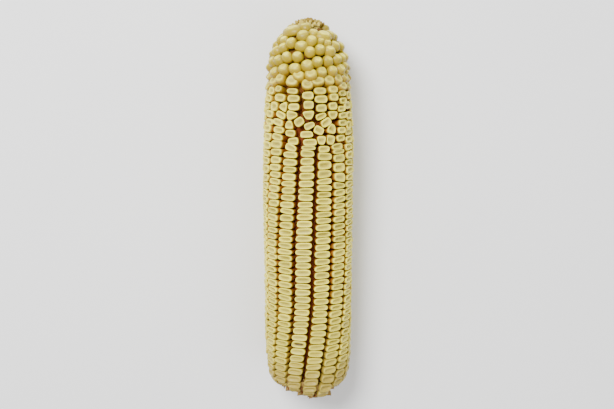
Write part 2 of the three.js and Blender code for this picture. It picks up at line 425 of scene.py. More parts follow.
@dataclass
class Seat:
    """Where one kernel stands: the middle of its crown, half its width and half its length as
    vectors, how the crown twists out of a parallelogram, and how much it narrows."""

    centre: Vector
    across: Vector
    lengthwise: Vector
    twist: Vector
    along: float
    narrow_tip: float = 0.0
    narrow_right: float = 0.0

    @property
    def skew(self):
        """How far the kernel's ends lean over: the cosine between its two directions."""
        return self.across.normalized().dot(self.lengthwise.normalized())

    @property
    def normal(self):
        return self.across.cross(self.lengthwise).normalized()


def facet_of(face):
    """The faces that carry on from a face without a sharp bend."""
    face.tag = True
    facet = [face]
    for member in facet:
        for edge in member.edges:
            for other in edge.link_faces:
                if not other.tag and other.normal.angle(member.normal, 0) < FACET_BEND:
                    other.tag = True
                    facet.append(other)
    return facet


def seat_of(facet, axis):
    """The seat on a facet, or None if the facet isn't a kernel's crown."""
    area = sum(face.calc_area() for face in facet)
    if area < LEAST_CROWN_AREA:
        return None
    points = list({vertex for face in facet for vertex in face.verts})
    points = [vertex.co.copy() for vertex in sorted(points, key=lambda vertex: vertex.index)]
    centre = mean(points)
    normal = sum((face.normal * face.calc_area() for face in facet), Vector()).normalized()
    if normal.dot(axis.outward(centre)) < LEAST_OUTWARD:
        return None
    sideways = axis.sideways(centre)
    sideways = (sideways - normal * normal.dot(sideways)).normalized()
    lengthwise = normal.cross(sideways)
    spots = [((point - centre).dot(sideways), (point - centre).dot(lengthwise)) for point in points]
    half_width = max(abs(x) for x, _ in spots)
    half_length = max(abs(y) for _, y in spots)

    def corner(side, end):
        scores = [side * x / half_width + end * y / half_length for x, y in spots]
        return points[scores.index(max(scores))]

    low_left, low_right = corner(-1, -1), corner(1, -1)
    high_left, high_right = corner(-1, 1), corner(1, 1)
    return Seat(
        centre=(low_left + low_right + high_left + high_right) / 4,
        across=(low_right + high_right - low_left - high_left) / 4,
        lengthwise=(high_left + high_right - low_left - low_right) / 4,
        twist=(low_left + high_right - low_right - high_left) / 4,
        along=axis.along(centre),
    )


def read_seats(axis):
    """The kernel seats of every row, each row from butt to tip."""
    rows = []
    for name in ROW_NAMES:
        bm = bmesh.new()
        bm.from_mesh(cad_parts[name].data)
        bmesh.ops.remove_doubles(bm, verts=bm.verts, dist=WELD)
        bm.normal_update()
        bm.verts.index_update()
        facets = [facet_of(face) for face in bm.faces if not face.tag]
        seats = [seat_of(facet, axis) for facet in facets]
        rows.append(sorted((seat for seat in seats if seat), key=lambda seat: seat.along))
        bm.free()
    return rows


class Outline:
    """The ear's outline over its crowns: a radius for every distance along the ear."""

    def __init__(self, axis):
        widest = {}
        for name in ROW_NAMES:
            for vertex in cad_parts[name].data.vertices:
                spot = (axis.along(vertex.co), axis.radius(vertex.co))
                part = math.floor(spot[0] / OUTLINE_SLICE)
                if part not in widest or spot[1] > widest[part][1]:
                    widest[part] = spot
        end = Vector((axis.tip.x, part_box("withered_tip")[1].y, axis.tip.z))
        self.spots = sorted(widest.values()) + [(axis.along(end), 0.0)]

    def radius(self, along):
        for (start, near), (end, far) in zip(self.spots, self.spots[1:]):
            if along <= end:
                return lerp(near, far, max(0.0, (along - start) / (end - start)))
        return 0.0

    def slope(self, along):
        """How far the outline turns in towards the axis."""
        fall = self.radius(along - SLOPE_SPAN) - self.radius(along + SLOPE_SPAN)
        return math.atan2(fall, 2 * SLOPE_SPAN)


def surface_seat(along, angle, width, length, turn=0.0, **narrowing):
    """A seat on the outline, at a distance along the ear and an angle from its top."""
    place = AXIS.frame_at(along, OUTLINE.radius(along), angle)
    sloped = place.to_3x3() @ Matrix.Rotation(-OUTLINE.slope(along), 3, "X")
    turned = sloped @ Matrix.Rotation(turn, 3, "Z")
    return Seat(
        centre=place.translation,
        across=turned.col[0] * width / 2,
        lengthwise=turned.col[1] * length / 2,
        twist=Vector(),
        along=along,
        **narrowing,
    )


def odd_seat(odd, share):
    """The seat of a listed kernel, at a share of its size."""
    return surface_seat(
        odd.along * MM, math.radians(odd.angle), odd.width * share * MM, odd.length * share * MM,
        math.radians(odd.turn), narrow_tip=odd.narrow_tip, narrow_right=odd.narrow_right)


def hand_placed(along, angle):
    """Whether a place belongs to the listed kernels of the disordered band."""
    return along < HAND_PLACED_TO and math.cos(angle) > math.cos(HAND_PLACED_REACH)


def ring_seats():
    """Seats in staggered rings from the end of the rows to the florets."""
    chance = random.Random(f"{SEED}-rings")
    seats = []
    along = RINGS_FROM
    stagger = 0.0
    while OUTLINE.radius(along) > RINGS_LEAST_RADIUS:
        count = round(math.tau * OUTLINE.radius(along) / RING_SPACING)
        for i in range(count):
            angle = math.tau * (i + stagger + RING_ANGLE_SCATTER * chance.uniform(-1, 1)) / count
            spot = along + RING_SCATTER * chance.uniform(-1, 1)
            if not hand_placed(spot, angle):
                seats.append(surface_seat(spot, angle, *RING_KERNEL))
        along += RING_PITCH * math.cos(OUTLINE.slope(along))
        stagger = 0.5 - stagger
    return seats


def filler_seats(seats):
    """Seats for small kernels wherever the others leave room for one."""
    chance = random.Random(f"{SEED}-fillers")
    fillers = []
    for width, length in FILLER_SIZES:
        for step in range(round((FILLERS_TO - FILLERS_FROM) / FILLER_STEP)):
            along = FILLERS_FROM + FILLER_STEP * step
            for spot in range(FILLER_SPOTS):
                angle = math.tau * (spot + chance.random()) / FILLER_SPOTS
                seat = surface_seat(along, angle, width, length)
                if not (hand_placed(along, angle) or gives_way(seat, seats + fillers)):
                    fillers.append(seat)
    return fillers


def gives_way(seat, odd_seats):
    """Whether a seat lies where an odd kernel stands."""
    for odd in odd_seats:
        offset = seat.centre - odd.centre
        if offset.length > GIVE_WAY_REACH:
            continue
        up = offset.dot(odd.lengthwise.normalized())
        side = (offset - odd.lengthwise.normalized() * up).length
        reach = odd.across.length + seat.across.length
        reach_up = odd.lengthwise.length + seat.lengthwise.length
        if math.hypot(side / reach, up / reach_up) < GIVE_WAY:
            return True
    return False


AXIS = EarAxis(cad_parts["cob"])
OUTLINE = Outline(AXIS)
FRAME_SEATS = read_seats(AXIS)
ODD_SEATS = [odd_seat(odd, ODD_SHARE) for odd in ODD_KERNELS]
TOP_SEATS = [odd_seat(odd, TIP_SHARE) for odd in TIP_KERNELS]
PLACED_SEATS = ODD_SEATS + TOP_SEATS
SEATS = [
    [seat for seat in row if seat.along < RINGS_FROM and not gives_way(seat, PLACED_SEATS)]
    for row in FRAME_SEATS
]
TIP_SEATS = TOP_SEATS + [seat for seat in ring_seats() if not gives_way(seat, PLACED_SEATS)]
FILLER_SEATS = filler_seats([
    seat for seat in sum(SEATS, ODD_SEATS + TIP_SEATS) if seat.along > FILLERS_FROM - GIVE_WAY_REACH])


# ---- Settings ----

def length_setting(name, description, default):
    return FloatProperty(
        name=name, description=description, default=default, subtype="DISTANCE", unit="LENGTH")


def color_setting(name, description, default):
    return FloatVectorProperty(
        name=name, description=description, default=default, subtype="COLOR", size=3)


class KernelSettings(bpy.types.PropertyGroup):
    """Sizes and colours of the kernels."""

    crease: length_setting(
        "Crease", "Width of the crease that the frame leaves between two crowns", 0.5 * MM)
    gap: length_setting("Gap", "Space left between two kernels of a row", 0.34 * MM)
    crown_lift: length_setting("Crown lift", "How far a crown stands over its flat facet", 0.35 * MM)
    height_scatter: length_setting("Height scatter", "How much kernels differ in height", 0.30 * MM)
    longest: length_setting(
        "Longest kernel", "Depth from crown to foot where the ear is thickest", 10.2 * MM)
    shortest: length_setting(
        "Shortest kernel", "Depth from crown to foot at the ends of the ear", 4.8 * MM)
    widest: length_setting("Widest kernel", "Width that no kernel exceeds", 9.8 * MM)
    row_gap: length_setting(
        "Row gap", "Width taken off each crown of a row to open the gap beside it", 0.45 * MM)
    smoothing: IntProperty(
        name="Smoothing", description="Subdivision levels of a kernel", default=1, min=0, max=2)
    # The rim colour is paler than the crown's own colour: a painted highlight on the raised rims and on
    # the caps near the tip
    rim_color: color_setting("Rim", "Colour of the crown's raised rim", (0.95, 0.85, 0.08))
    crown_color: color_setting("Crown", "Colour of the crown inside its rim", (0.66, 0.57, 0.06))
    # The dent colour is darker than the crown's own colour: painted shade in the dent's hollow
    dent_shade_color: color_setting("Dent", "Colour in the crown's dent", (0.37, 0.30, 0.035))
    cloud_color: color_setting("Cloud", "Colour that clouds the crown", (0.54, 0.45, 0.05))
    flank_color: color_setting("Flank", "Colour of the sides under the crown", (0.35, 0.165, 0.016))
    foot_color: color_setting("Foot", "Colour where the kernel meets the cob", (0.30, 0.06, 0.008))
    worn_color: color_setting("Worn", "Colour of the dull kernels at the butt", (0.36, 0.262, 0.04))
    streak_color: color_setting(
        "Streak", "Colour of the dark streak in one kernel's dent", (0.07, 0.034, 0.002))
    pearl_flank_color: color_setting(
        "Pearly flank", "Colour of the flanks near the tip", (0.35, 0.262, 0.003))


class ChaffSettings(bpy.types.PropertyGroup):
    """Sizes and colours of the cob, its chaff and the withered florets."""

    scale_height: length_setting(
        "Scale height", "How far a chaff scale stands up beside a kernel", 6.4 * MM)
    scale_width: length_setting("Scale width", "Width of a chaff scale", 2.9 * MM)
    scale_thickness: length_setting("Scale thickness", "Thickness of a chaff scale", 0.14 * MM)
    floret_length: length_setting("Floret length", "Length of a withered floret", 3.3 * MM)
    chaff_color: color_setting(
        "Chaff", "Colour of the scales and the bed between the kernels", (0.16, 0.036, 0.005))
    chaff_edge_color: color_setting(
        "Chaff edge", "Colour of the thin edge of a scale", (0.17, 0.06, 0.010))
    tip_chaff_color: color_setting(
        "Tip chaff", "Colour of the bed between the kernels near the tip", (0.12, 0.07, 0.006))
    straw_color: color_setting(
        "Straw", "Colour of the torn chaff and the shank at the butt", (0.42, 0.285, 0.08))
    cob_color: color_setting("Cob", "Colour of the cob between the kernels", (0.26, 0.045, 0.010))
    # Near black in the pits: painted shade in the cob's hollows
    pit_shade_color: color_setting("Cob pits", "Colour in the pits of the cob", (0.02, 0.003, 0.001))
    pith_color: color_setting("Pith", "Colour of the pith in the broken shank", (0.50, 0.38, 0.16))
    floret_color: color_setting("Florets", "Colour of the withered florets", (0.60, 0.49, 0.09))
    floret_brown: color_setting(
        "Browned florets", "Colour of the most withered florets", (0.22, 0.125, 0.012))


class StageSettings(bpy.types.PropertyGroup):
    """Camera, floor and lights."""

    camera_distance: length_setting("Camera distance", "From the camera to the middle of the ear", 0.57)
    camera_tilt: FloatProperty(
        name="Camera tilt", description="Angle from straight down, towards the tip",
        default=math.radians(10), subtype="ANGLE", unit="ROTATION")
    camera_aside: length_setting(
        "Camera aside", "How far the view's middle is beside the ear's", -0.6 * MM)
    camera_ahead: length_setting(
        "Camera ahead", "How far the view's middle is tipward of the ear's", 2.4 * MM)
    view_height: length_setting("View height", "Height of the camera's view at the ear", 0.2216)
    floor_size: length_setting("Floor size", "Side of the floor", 4.0)
    key_power: FloatProperty(
        name="Key light", description="Power of the light over the tip", default=18.0, unit="POWER")
    fill_power: FloatProperty(
        name="Fill light", description="Power of the light over the butt", default=3.0, unit="POWER")
    sky: FloatProperty(
        name="Sky", description="Brightness of the white surroundings", default=0.72, min=0.0)


class EarSettings(bpy.types.PropertyGroup):
    """All the settings of the ear."""

    kernels: PointerProperty(type=KernelSettings)
    chaff: PointerProperty(type=ChaffSettings)
    stage: PointerProperty(type=StageSettings)


# ---- Node groups and materials ----

class NodeMaker:
    """Adds nodes to a tree and links them."""

    def __init__(self, tree):
        self.tree = tree
        tree.nodes.clear()

    def add(self, kind, inputs=None, **settings):
        node = self.tree.nodes.new(kind)
        for name, value in settings.items():
            setattr(node, name, value)
        for socket, value in (inputs or {}).items():
            self.feed(node.inputs[socket], value)
        return node

    def feed(self, socket, value):
        """Links a socket's value, or sets it."""
        if isinstance(value, bpy.types.NodeSocket):
            self.tree.links.new(value, socket)
        elif socket.type == "RGBA":
            socket.default_value = rgba(value)
        else:
            socket.default_value = value

    def attribute(self, name):
        return self.add("ShaderNodeAttribute", attribute_name=name).outputs["Fac"]

    def object_place(self):
        return self.add("ShaderNodeTexCoord").outputs["Object"]

    def along_ear(self, place):
        return self.add("ShaderNodeSeparateXYZ", {"Vector": place}).outputs["Y"]

    def fade(self, value, start, end, low=0.0, high=1.0):
        inputs = {"Value": value, "From Min": start, "From Max": end, "To Min": low, "To Max": high}
        return self.add("ShaderNodeMapRange", inputs).outputs["Result"]

    def mix(self, share, a, b, blend="MIX"):
        node = self.add("ShaderNodeMix", data_type="RGBA", blend_type=blend)
        for socket, value in zip((node.inputs[0], node.inputs[6], node.inputs[7]), (share, a, b)):
            self.feed(socket, value)
        return node.outputs[2]

    def math(self, operation, a, b):
        return self.add("ShaderNodeMath", {0: a, 1: b}, operation=operation).outputs[0]

    def noise(self, vector, scale, detail=2.0):
        inputs = {"Vector": vector, "Scale": scale, "Detail": detail}
        return self.add("ShaderNodeTexNoise", inputs).outputs["Fac"]

    def color_ramp(self, value, stops):
        node = self.add("ShaderNodeValToRGB", {"Fac": value})
        elements = node.color_ramp.elements
        while len(elements) < len(stops):
            elements.new(0.5)
        for element, (position, color) in zip(elements, stops):
            element.position = position
            element.color = rgba(color)
        return node.outputs["Color"]

    def effect(self, name, inputs):
        """Places a shared node group."""
        node = self.add("ShaderNodeGroup", node_tree=bpy.data.node_groups[name])
        for socket, value in inputs.items():
            self.feed(node.inputs[socket], value)
        return node.outputs

    def mottle(self, place, color, second, scale, amount):
        return self.effect("Mottle", {
            "Vector": place, "Color": color, "Second Color": second, "Scale": scale,
            "Amount": amount})

    def relief(self, place, fine_scale, broad_scale, fine_share):
        return self.effect("Relief", {
            "Vector": place, "Fine Scale": fine_scale, "Broad Scale": broad_scale,
            "Fine Share": fine_share})["Height"]

    def fibres(self, place, scale):
        return self.effect("Fibre", {"Vector": place, "Scale": scale})["Streaks"]


def rgba(color):
    return (*color[:3], 1.0)


def blend(a, b, share):
    """A colour between two others."""
    return tuple(lerp(x, y, share) for x, y in zip(a, b))


def blank_group(name, inputs, outputs):
    """A shader node group and its maker, with sockets given as {name: kind}."""
    group = bpy.data.node_groups.new(name, "ShaderNodeTree")
    for side, sockets in (("INPUT", inputs), ("OUTPUT", outputs)):
        for socket, kind in sockets.items():
            group.interface.new_socket(socket, in_out=side, socket_type=f"NodeSocket{kind}")
    return NodeMaker(group)


def mottle_group():
    """Clouds of a second colour over a first."""
    make = blank_group(
        "Mottle",
        {"Vector": "Vector", "Color": "Color", "Second Color": "Color", "Scale": "Float",
         "Amount": "Float"},
        {"Color": "Color", "Mask": "Float"})
    ins = make.add("NodeGroupInput").outputs
    mask = make.fade(make.noise(ins["Vector"], ins["Scale"], 4.0), 0.36, 0.66)
    share = make.math("MULTIPLY", mask, ins["Amount"])
    mixed = make.mix(share, ins["Color"], ins["Second Color"])
    make.add("NodeGroupOutput", {"Color": mixed, "Mask": mask})


def relief_group():
    """Fine bumps over broader ones, as a height."""
    make = blank_group(
        "Relief",
        {"Vector": "Vector", "Fine Scale": "Float", "Broad Scale": "Float", "Fine Share": "Float"},
        {"Height": "Float"})
    ins = make.add("NodeGroupInput").outputs
    fine = make.math("MULTIPLY", make.noise(ins["Vector"], ins["Fine Scale"]), ins["Fine Share"])
    broad = make.noise(ins["Vector"], ins["Broad Scale"])
    make.add("NodeGroupOutput", {"Height": make.math("ADD", broad, fine)})


def fibre_group():
    """Streaks that run along the ear."""
    make = blank_group("Fibre", {"Vector": "Vector", "Scale": "Float"}, {"Streaks": "Float"})
    ins = make.add("NodeGroupInput").outputs
    drawn = make.add("ShaderNodeMapping", {"Vector": ins["Vector"], "Scale": (1.0, 0.12, 1.0)})
    streaks = make.noise(drawn.outputs["Vector"], ins["Scale"], 3.0)
    make.add("NodeGroupOutput", {"Streaks": make.fade(streaks, 0.32, 0.68)})


def new_material(name):
    material = bpy.data.materials.new(name)
    material.use_nodes = True
    return material, NodeMaker(material.node_tree)


def finish_material(make, color, roughness, height, bump_depth, **constants):
    """Ends a material in a Principled shader. Constants are set on the shader's own sockets."""
    bump = make.add("ShaderNodeBump", {"Height": height, "Distance": bump_depth, "Strength": 1.0})
    inputs = {"Base Color": color, "Roughness": roughness, "Normal": bump.outputs["Normal"]}
    inputs.update({socket.replace("_", " "): value for socket, value in constants.items()})
    shader = make.add("ShaderNodeBsdfPrincipled", inputs)
    make.add("ShaderNodeOutputMaterial", {"Surface": shader.outputs["BSDF"]})


def kernel_material(settings):
    """Seed coat: a cream crown with a paler rim that is a painted highlight, a dent darkened by painted
    shade, amber flanks and a stained foot. Towards the tip the flanks are clear yellow, and towards the
    butt the crowns are duller."""
    material, make = new_material("kernel")
    place = make.object_place()
    ear_y = make.along_ear(place)
    wander = make.noise(place, 420.0, 3.0)
    height = make.math("ADD", make.attribute("rise"), make.fade(wander, 0.3, 0.7, -0.035, 0.035))
    # crown below holds the rim colour, a painted highlight on the rims, the upper shoulders and the
    # pearly caps
    crown, flank, foot = settings.rim_color, settings.flank_color, settings.foot_color
    yellow = settings.pearl_flank_color
    dry = make.color_ramp(height, (
        (0.0, foot), (0.50, foot), (0.74, blend(foot, flank, 0.5)), (0.87, flank),
        (0.92, blend(flank, crown, 0.4)), (0.955, crown), (1.0, crown)))
    pearly = make.color_ramp(height, (
        (0.0, foot), (0.36, blend(flank, yellow, 0.3)), (0.58, blend(flank, yellow, 0.8)),
        (0.86, yellow), (0.955, blend(yellow, crown, 0.2)), (0.995, crown), (1.0, crown)))
    pearliness = make.fade(ear_y, AXIS.tip.y - PEARLY_FROM, AXIS.tip.y - PEARLY_TO)
    coat = make.mix(pearliness, dry, pearly)
    dent = make.attribute("dent")
    inside = make.mix(make.fade(dent, 0.08, 0.38), coat, settings.crown_color)
    # The dent colour darkens the floor of the dent: painted shade in its hollow
    dented = make.mix(make.fade(dent, 0.45, 0.95), inside, settings.dent_shade_color)
    cloudiness = make.fade(height, 0.86, 0.95, 0.0, 0.35)
    mottled = make.mottle(place, dented, settings.cloud_color, 620.0, cloudiness)
    shade = make.fade(make.attribute("tone"), 0.0, 1.0, 0.84, 1.08)
    grey = make.add("ShaderNodeCombineColor", {"Red": shade, "Green": shade, "Blue": shade})
    toned = make.mix(1.0, mottled["Color"], grey.outputs["Color"], "MULTIPLY")
    age = make.fade(ear_y, AXIS.butt.y + AGED_TO, AXIS.butt.y, 0.0, 0.7)
    aged = make.mix(age, toned, settings.cloud_color)
    dullness = make.fade(ear_y, AXIS.butt.y + WORN_TO, AXIS.butt.y + WORN_FROM, 0.0, 0.85)
    dulled = make.mix(dullness, aged, settings.worn_color)
    spot = make.math("MULTIPLY", make.attribute("stain"), make.fade(dent, 0.55, 0.85))
    streak = make.math("MULTIPLY", spot, make.fade(wander, 0.38, 0.50))
    color = make.mix(streak, dulled, settings.streak_color)
    roughness = make.math("ADD", make.fade(mottled["Mask"], 0.0, 1.0, 0.34, 0.48),
                          make.fade(dent, 0.0, 1.0, 0.0, 0.12))
    finish_material(
        make, color, roughness, make.relief(place, 3600.0, 1300.0, 0.35), 0.08 * MM,
        Subsurface_Weight=0.10, Subsurface_Radius=(1.0, 0.55, 0.22), Subsurface_Scale=1.2 * MM,
        Specular_IOR_Level=0.45)
    return material


def scale_material(name, base, edge):
    """Papery chaff: one colour at a scale's foot and another at its thin edge."""
    material, make = new_material(name)
    place = make.object_place()
    rise = make.attribute("rise")
    fibres = make.fibres(place, 2600.0)
    color = make.mix(make.math("MULTIPLY", rise, rise), base, edge)
    mottled = make.mottle(place, color, blend(base, edge, 0.3), 900.0, 0.6)["Color"]
    streaked = make.mix(make.fade(fibres, 0.0, 1.0, 0.0, 0.35), mottled, base)
    roughness = make.fade(fibres, 0.0, 1.0, 0.75, 0.85)
    finish_material(make, streaked, roughness, fibres, 0.06 * MM, Specular_IOR_Level=0.3)
    return material


def cob_material(settings):
    """The cob: maroon, pitted and rough, with painted shade in its pits."""
    material, make = new_material("cob")
    place = make.object_place()
    pits = make.add("ShaderNodeTexVoronoi", {"Vector": place, "Scale": 420.0}).outputs["Distance"]
    mottled = make.mottle(place, settings.cob_color, settings.chaff_color, 700.0, 0.8)
    # The pit colour, strongest where the pits are deepest, is painted shade
    color = make.mix(make.fade(pits, 0.1, 0.5, 0.5, 0.0), mottled["Color"], settings.pit_shade_color)
    roughness = make.fade(mottled["Mask"], 0.0, 1.0, 0.8, 0.95)
    finish_material(make, color, roughness, pits, 0.4 * MM, Specular_IOR_Level=0.25)
    return material


def bed_material(settings):
    """Packed chaff: maroon with paler flecks, and brown towards the tip."""
    material, make = new_material("chaff_bed")
    place = make.object_place()
    tipward = make.fade(make.along_ear(place), AXIS.tip.y - BROWN_FROM, AXIS.tip.y - BROWN_TO)
    base = make.mix(tipward, settings.chaff_color, settings.tip_chaff_color)
    fibres = make.fibres(place, 2200.0)
    mottled = make.mottle(place, base, settings.cob_color, 1100.0, 0.5)["Color"]
    flecks = make.math("MULTIPLY", make.attribute("rise"), make.fade(fibres, 0.5, 1.0, 0.0, 0.35))
    color = make.mix(flecks, mottled, settings.chaff_edge_color)
    roughness = make.fade(fibres, 0.0, 1.0, 0.8, 0.95)
    finish_material(make, color, roughness, fibres, 0.2 * MM, Specular_IOR_Level=0.25)
    return material


def shank_material(settings):
    """Broken stalk: straw wood with darker fibres round a pale pith."""
    material, make = new_material("shank")
    place = make.object_place()
    fibres = make.fibres(place, 1700.0)
    ends = make.noise(place, 1900.0, 3.0)
    straw, black = settings.straw_color, (0, 0, 0)
    wood = make.mix(make.fade(fibres, 0.0, 1.0, 0.0, 0.5), straw, blend(straw, black, 0.6))
    pith = make.mix(make.fade(ends, 0.35, 0.6), settings.pith_color, blend(straw, black, 0.35))
    color = make.mix(make.attribute("rise"), wood, pith)
    roughness = make.fade(ends, 0.3, 0.7, 0.75, 0.92)
    finish_material(make, color, roughness, ends, 0.5 * MM, Specular_IOR_Level=0.25)
    return material


def floret_material(settings):
    """Shrivelled florets, from cream to brown."""
    material, make = new_material("withered_floret")
    place = make.object_place()
    folds = make.relief(place, 3000.0, 1100.0, 0.4)
    brown = settings.floret_brown
    aged = make.mix(make.attribute("tone"), settings.floret_color, brown)
    mottled = make.mottle(place, aged, brown, 700.0, 0.4)
    roughness = make.fade(mottled["Mask"], 0.0, 1.0, 0.62, 0.85)
    finish_material(make, mottled["Color"], roughness, folds, 0.25 * MM, Specular_IOR_Level=0.3)
    return material


# ---- Mesh helpers ----

def add_piece(name, bm, material, slot, *replaced):
    """Turns a bmesh into a piece that rides on the ear."""
    mesh = bpy.data.meshes.new(name)
    bm.to_mesh(mesh)
    bm.free()
    mesh.shade_smooth()
    mesh.materials.append(material)
    piece = bpy.data.objects.new(name, mesh)
    bpy.context.scene.collection.objects.link(piece)
    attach(piece, "root")
    if replaced:
        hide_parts(*replaced)
    return piece


def smooth_piece(piece, levels):
    modifier = piece.modifiers.new("Smoothing", "SUBSURF")
    modifier.levels = levels
    modifier.render_levels = levels


def thicken_piece(piece, thickness):
    modifier = piece.modifiers.new("Thickness", "SOLIDIFY")
    modifier.thickness = thickness
    modifier.offset = 0.0


def new_layers(bm, *names):
    """Vertex values that the materials read."""
    return {name: bm.verts.layers.float.new(name) for name in names}


def as_mesh(bm, name):
    """A mesh to copy a shape from."""
    mesh = bpy.data.meshes.new(name)
    bm.to_mesh(mesh)
    bm.free()
    return mesh


# ---- Kernels ----

def kernel_cage():
    """The cage that every kernel is copied from: a ring of corners drawn up through six levels.
    A corner's height counts the levels, foot to dent."""
    bm = bmesh.new()
    bmesh.ops.create_circle(bm, cap_ends=False, radius=1.0, segments=RING_CORNERS)
    ring = bm.edges[:]
    for _ in DENTED[1:]:
        drawn = bmesh.ops.extrude_edge_only(bm, edges=ring)["geom"]
        raised = [item for item in drawn if isinstance(item, bmesh.types.BMVert)]
        ring = [item for item in drawn if isinstance(item, bmesh.types.BMEdge) and item.is_boundary]
        bmesh.ops.translate(bm, verts=raised, vec=(0, 0, 1))
    bmesh.ops.holes_fill(bm, edges=bm.edges)
    bmesh.ops.recalc_face_normals(bm, faces=bm.faces)
    return as_mesh(bm, "kernel_cage")


def corner_place(x, y, roundness):
    """A ring corner of the cage, moved from the circle to the outline of a kernel: two corners
    in the middle of the long sides, four towards their ends and four at the short ends."""
    if abs(x) < MIDDLE_CORNER_X:
        blocky = (0.0, 1.0)
    elif abs(x) < abs(y):
        blocky = (SIDE_CORNER_X, 1.0)
    else:
        blocky = (1.0, END_CORNER_Y)
    place = [lerp(a, b, roundness) for a, b in zip(blocky, (abs(x), abs(y)))]
    return math.copysign(place[0], x), math.copysign(place[1], y)


def tipward_lean(along):
    """Radians by which a kernel leans towards the tip."""
    lean = LEAN + TAPER_LEAN * ramp(along, LEAN_FROM, LEAN_TO)
    return lean * (1 - LEAN_FADE * ramp(along, LEAN_FADE_FROM, LEAN_FADE_TO))


class Kernel:
    """One kernel: a seat, with the chances that make it differ from its neighbours."""

    def __init__(self, seat, settings, chance):
        self.seat = seat
        self.roundness = ramp(seat.along, ROUND_FROM, ROUND_TO)
        self.dimple = 1 - ramp(seat.along, DIMPLE_FADE_FROM, DIMPLE_FADE_TO)
        self.tone = chance.random()
        self.swell = [1 + OUTLINE_SCATTER * chance.uniform(-1, 1) for _ in range(RING_CORNERS)]
        self.taper = TAPER_SCATTER * chance.uniform(-1, 1)
        self.dent_shift = DENT_SHIFT * chance.uniform(-1, 1)
        self.dent_share = chance.uniform(*DENT_SHARES)
        self.set_size(settings, chance)
        self.set_direction(settings, chance)

    def set_size(self, settings, chance):
        """Half the width and half the thickness, as vectors."""
        seat = self.seat
        half_width = min(seat.across.length - self.opening(settings), settings.widest / 2)
        width_scale = half_width / seat.across.length * (1 + WIDTH_SCATTER * chance.uniform(-1, 1))
        closing = (settings.crease - settings.gap) / 2
        length_scale = 1 + closing / seat.lengthwise.length
        turn = TURN_SCATTER * chance.uniform(-1, 1)
        if abs(seat.skew) > SKEWED:
            turn = SKEWED_TURN * chance.uniform(-1, 1)
            width_scale *= SKEWED_WIDTH
            length_scale *= SKEWED_LENGTH
        turned = Quaternion(seat.normal, turn)
        self.across = turned @ seat.across * width_scale
        self.lengthwise = turned @ seat.lengthwise * length_scale

    def opening(self, settings):
        """Half the width taken off a crown that a row of the frame gives."""
        return settings.row_gap / 2 if self.seat.twist.length > 0 else 0.0

    def set_direction(self, settings, chance):
        """Which way the kernel stands, and how deep."""
        seat = self.seat
        lean = -tipward_lean(seat.along) + TURN_SCATTER * chance.uniform(-1, 1)
        tilted = Quaternion(AXIS.sideways(seat.centre), lean)
        self.lengthwise = tilted @ self.lengthwise
        self.inward = -(tilted @ seat.normal)
        lift = settings.crown_lift + settings.height_scatter * chance.uniform(-1, 1)
        self.crown = seat.centre + seat.normal * lift
        room = AXIS.radius(seat.centre) - AXIS.cob_radius
        self.depth = min(settings.longest, max(room, settings.shortest))

    def place(self, x, y, step):
        """Where a corner of the cage goes, with the rise and the dent there."""
        dry, pearl = DENTED[step], PEARLY[step]
        corner = round(math.atan2(y, x) / math.tau * RING_CORNERS) % RING_CORNERS
        rise = lerp(dry.rise, pearl.rise, self.roundness)
        dent = lerp(pearl.dent, dry.dent, self.dimple)
        x, y = corner_place(x, y, self.roundness)
        x *= lerp(dry.across, pearl.across, self.roundness) * self.swell[corner]
        y *= lerp(dry.lengthwise, pearl.lengthwise, self.roundness) * self.swell[corner]
        x, y = (
            x * (1 - self.seat.narrow_tip * y),
            y * (1 + (self.taper - self.seat.narrow_right) * x),
        )
        under = lerp(dry.depth, pearl.depth, 1 - self.dimple if dent > 0 else self.roundness)
        if step == 0:
            under = self.depth
        elif step == len(DENTED) - 1:
            x += self.dent_shift
            under *= self.dent_share
        place = self.crown + self.across * x + self.lengthwise * y + self.inward * under
        return place + self.seat.twist * x * y * (1 - self.roundness), rise, dent


def add_kernel(bm, cage, layers, kernel, stain=0.0):
    """Copies the cage into a row, shapes it and keeps it over the table."""
    first = len(bm.verts)
    bm.from_mesh(cage)
    bm.verts.ensure_lookup_table()
    corners = bm.verts[first:]
    for vertex in corners:
        x, y, step = vertex.co
        vertex.co, vertex[layers["rise"]], vertex[layers["dent"]] = kernel.place(x, y, round(step))
        vertex[layers["tone"]] = kernel.tone
        vertex[layers["stain"]] = stain
    sunk = max(0.0, -min(vertex.co.z for vertex in corners))
    bmesh.ops.translate(bm, verts=corners, vec=(0, 0, sunk))


def blemished(seat):
    """Whether a seat is the one under the brown streak."""
    offset = seat.centre - AXIS.beside(seat.centre)
    across = seat.across.length
    near_side = offset.z > 0 and abs(offset.x - BLEMISH_SIDE) < across
    return near_side and abs(seat.along - BLEMISH_ALONG) < seat.lengthwise.length


def add_kernels(name, seats, cage, material, settings, *replaced):
    chance = random.Random(f"{SEED}-{name}")
    bm = bmesh.new()
    layers = new_layers(bm, "rise", "dent", "tone", "stain")
    for seat in seats:
        kernel = Kernel(seat, settings, chance)
        add_kernel(bm, cage, layers, kernel, 1.0 if blemished(seat) else 0.0)
    piece = add_piece(name, bm, material, "kernel", *replaced)
    smooth_piece(piece, settings.smoothing)


class EAR_OT_kernels(bpy.types.Operator):
    """Seat the separate kernels of every row, and those of the disordered band and the tip"""

    bl_idname = "maize_ear.kernels"
    bl_label = "Kernels"

    def execute(self, context):
        settings = context.scene.maize_ear.kernels
        material = kernel_material(settings)
        cage = kernel_cage()
        for row_name, seats in zip(ROW_NAMES, SEATS):
            name = row_name.replace("kernel_row", "kernels")
            add_kernels(name, seats, cage, material, settings, row_name)
        add_kernels("kernels_disordered", ODD_SEATS, cage, material, settings)
        add_kernels("kernels_tip", TIP_SEATS + FILLER_SEATS, cage, material, settings)
        bpy.data.meshes.remove(cage)
        return {"FINISHED"}


# ---- Cob and chaff ----

